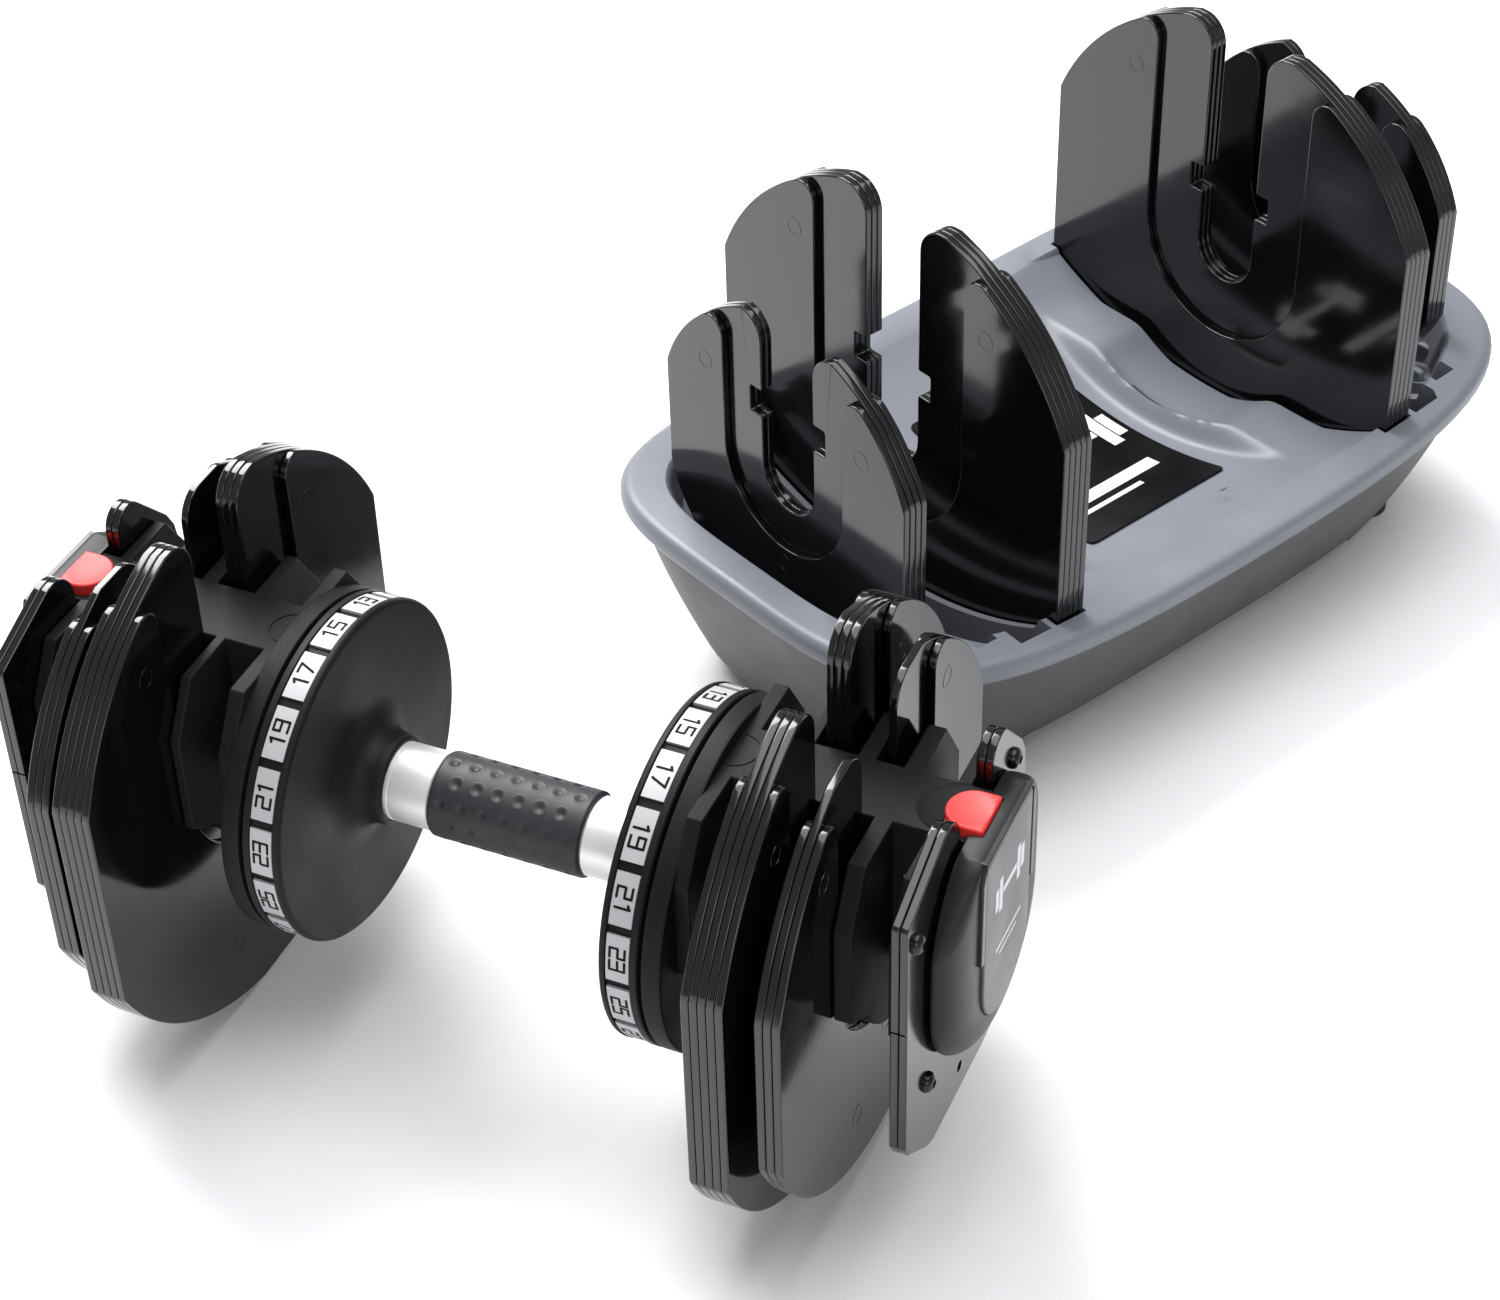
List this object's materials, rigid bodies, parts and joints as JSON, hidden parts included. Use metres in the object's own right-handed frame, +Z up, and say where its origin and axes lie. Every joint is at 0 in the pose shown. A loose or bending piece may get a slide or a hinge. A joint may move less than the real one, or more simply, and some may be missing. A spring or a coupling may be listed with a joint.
{
  "type": "adjustable dumbbell",
  "caption": "Adjustable dumbbell with a twist-to-select handle, slotted plates and lock buttons, beside its storage cradle with the parked plates.",
  "frame": {"origin": "on the floor, under the middle of the whole set's bounding box", "axes": "+X along the dumbbell's handle, +Y from the dumbbell towards the cradle (the set's longest extent), +Z up (its shortest extent)"},
  "size_m": [0.4706, 0.6896, 0.2485],
  "materials": {
    "dial_plastic": "fine grained matte black moulded plastic",
    "housing_plastic": "fine grained matte black moulded plastic",
    "plate_gloss": "gloss black coated steel sheets",
    "screw_black": "black oxide steel, slightly glossy",
    "cap_plastic": "satin dark grey moulded plastic",
    "badge_plastic": "satin mid grey moulded plastic",
    "button_red": "satin coral red moulded plastic",
    "tube_aluminium": "satin turned aluminium",
    "grip_rubber": "matte black rubber with dimples",
    "number_band": "printed silver band with black numbers",
    "steel": "plain machined steel",
    "tray_plastic": "semi-gloss blue grey moulded plastic",
    "base_plastic": "satin dark grey moulded plastic",
    "label_film": "smooth black printed film",
    "foot_rubber": "matte black rubber"
  },
  "bodies": {
    "cradle": {"tray": "tray_plastic", "base_shell": "base_plastic", "label_plate": "label_film", "base_screw_1": "screw_black", "base_screw_2": "screw_black", "base_screw_3": "screw_black", "base_screw_4": "screw_black", "foot_1": "foot_rubber", "foot_2": "foot_rubber", "foot_3": "foot_rubber", "foot_4": "foot_rubber"},
    "dumbbell_frame": {"axle_rod": "steel", "housing_left": "housing_plastic", "housing_right": "housing_plastic", "plate_2_left": "plate_gloss", "plate_2_right": "plate_gloss", "plate_3_left": "plate_gloss", "plate_3_right": "plate_gloss", "plate_5_left": "plate_gloss", "plate_5_right": "plate_gloss", "plate_screw_1_left": "screw_black", "plate_screw_1_right": "screw_black", "plate_screw_2_left": "screw_black", "plate_screw_2_right": "screw_black", "plate_screw_3_left": "screw_black", "plate_screw_3_right": "screw_black", "end_cap_left": "cap_plastic", "end_cap_right": "cap_plastic", "badge_left": "badge_plastic", "badge_right": "badge_plastic", "button_spring_left": "steel", "button_spring_right": "steel"},
    "handle": {"handle_tube": "tube_aluminium", "grip": "grip_rubber", "dial_left": "dial_plastic", "dial_right": "dial_plastic", "number_ring_left": "number_band", "number_ring_right": "number_band", "handle_bushing_left": "steel", "handle_bushing_right": "steel", "selector_shaft_left": "steel", "selector_shaft_right": "steel"},
    "button_left": {"lock_button_left": "button_red", "lock_pawl_left": "steel"},
    "button_right": {"lock_button_right": "button_red", "lock_pawl_right": "steel"},
    "lock_bar_1_right_body": {"lock_bar_1_right": "steel"},
    "lock_bar_1_left_body": {"lock_bar_1_left": "steel"},
    "lock_bar_2_right_body": {"lock_bar_2_right": "steel"},
    "lock_bar_2_left_body": {"lock_bar_2_left": "steel"},
    "lock_bar_3_right_body": {"lock_bar_3_right": "steel"},
    "lock_bar_3_left_body": {"lock_bar_3_left": "steel"},
    "lock_bar_4_right_body": {"lock_bar_4_right": "steel"},
    "lock_bar_4_left_body": {"lock_bar_4_left": "steel"},
    "parked_plate_1_left": {"plate_1_left": "plate_gloss"},
    "parked_plate_1_right": {"plate_1_right": "plate_gloss"},
    "parked_plate_4_left": {"plate_4_left": "plate_gloss"},
    "parked_plate_4_right": {"plate_4_right": "plate_gloss"}
  },
  "joints": [
    {"name": "dumbbell_lift", "type": "slide", "parent": "cradle", "child": "dumbbell_frame", "axis": [0, 0, 1], "range_m": [0, 0.3]},
    {"name": "handle_turn", "type": "hinge", "parent": "dumbbell_frame", "child": "handle", "pos_m": [-0.035, -0.2363, 0.1165], "axis": [1, 0, 0], "range_deg": [-220, 100]},
    {"name": "button_press_left", "type": "slide", "parent": "dumbbell_frame", "child": "button_left", "axis": [0, 0, -1], "range_m": [0, 0.0035], "stiffness_N_per_m": 800, "springref_m": -0.002, "deforming": ["button_spring_left"]},
    {"name": "button_press_right", "type": "slide", "parent": "dumbbell_frame", "child": "button_right", "axis": [0, 0, -1], "range_m": [0, 0.0035], "stiffness_N_per_m": 800, "springref_m": -0.002, "deforming": ["button_spring_right"]},
    {"name": "lock_bar_1_right_slide", "type": "slide", "parent": "dumbbell_frame", "child": "lock_bar_1_right_body", "axis": [0, 1, 0], "range_m": [0, 0.0075]},
    {"name": "lock_bar_1_left_slide", "type": "slide", "parent": "dumbbell_frame", "child": "lock_bar_1_left_body", "axis": [0, 1, 0], "range_m": [0, 0.0075]},
    {"name": "lock_bar_2_right_slide", "type": "slide", "parent": "dumbbell_frame", "child": "lock_bar_2_right_body", "axis": [0, 1, 0], "range_m": [0, 0.0075]},
    {"name": "lock_bar_2_left_slide", "type": "slide", "parent": "dumbbell_frame", "child": "lock_bar_2_left_body", "axis": [0, 1, 0], "range_m": [0, 0.0075]},
    {"name": "lock_bar_3_right_slide", "type": "slide", "parent": "dumbbell_frame", "child": "lock_bar_3_right_body", "axis": [0, -1, 0], "range_m": [0, 0.0075]},
    {"name": "lock_bar_3_left_slide", "type": "slide", "parent": "dumbbell_frame", "child": "lock_bar_3_left_body", "axis": [0, -1, 0], "range_m": [0, 0.0075]},
    {"name": "lock_bar_4_right_slide", "type": "slide", "parent": "dumbbell_frame", "child": "lock_bar_4_right_body", "axis": [0, -1, 0], "range_m": [0, 0.0075]},
    {"name": "lock_bar_4_left_slide", "type": "slide", "parent": "dumbbell_frame", "child": "lock_bar_4_left_body", "axis": [0, -1, 0], "range_m": [0, 0.0075]},
    {"name": "plate_1_left_lift", "type": "slide", "parent": "cradle", "child": "parked_plate_1_left", "axis": [0, 0, 1], "range_m": [0, 0.15]},
    {"name": "plate_1_right_lift", "type": "slide", "parent": "cradle", "child": "parked_plate_1_right", "axis": [0, 0, 1], "range_m": [0, 0.15]},
    {"name": "plate_4_left_lift", "type": "slide", "parent": "cradle", "child": "parked_plate_4_left", "axis": [0, 0, 1], "range_m": [0, 0.15]},
    {"name": "plate_4_right_lift", "type": "slide", "parent": "cradle", "child": "parked_plate_4_right", "axis": [0, 0, 1], "range_m": [0, 0.15]}
  ],
  "couplings": [
    {"joint": "lock_bar_1_left_slide", "follows": "lock_bar_1_right_slide", "ratio": 1},
    {"joint": "lock_bar_2_left_slide", "follows": "lock_bar_2_right_slide", "ratio": 1},
    {"joint": "lock_bar_3_left_slide", "follows": "lock_bar_3_right_slide", "ratio": 1},
    {"joint": "lock_bar_4_left_slide", "follows": "lock_bar_4_right_slide", "ratio": 1}
  ]
}
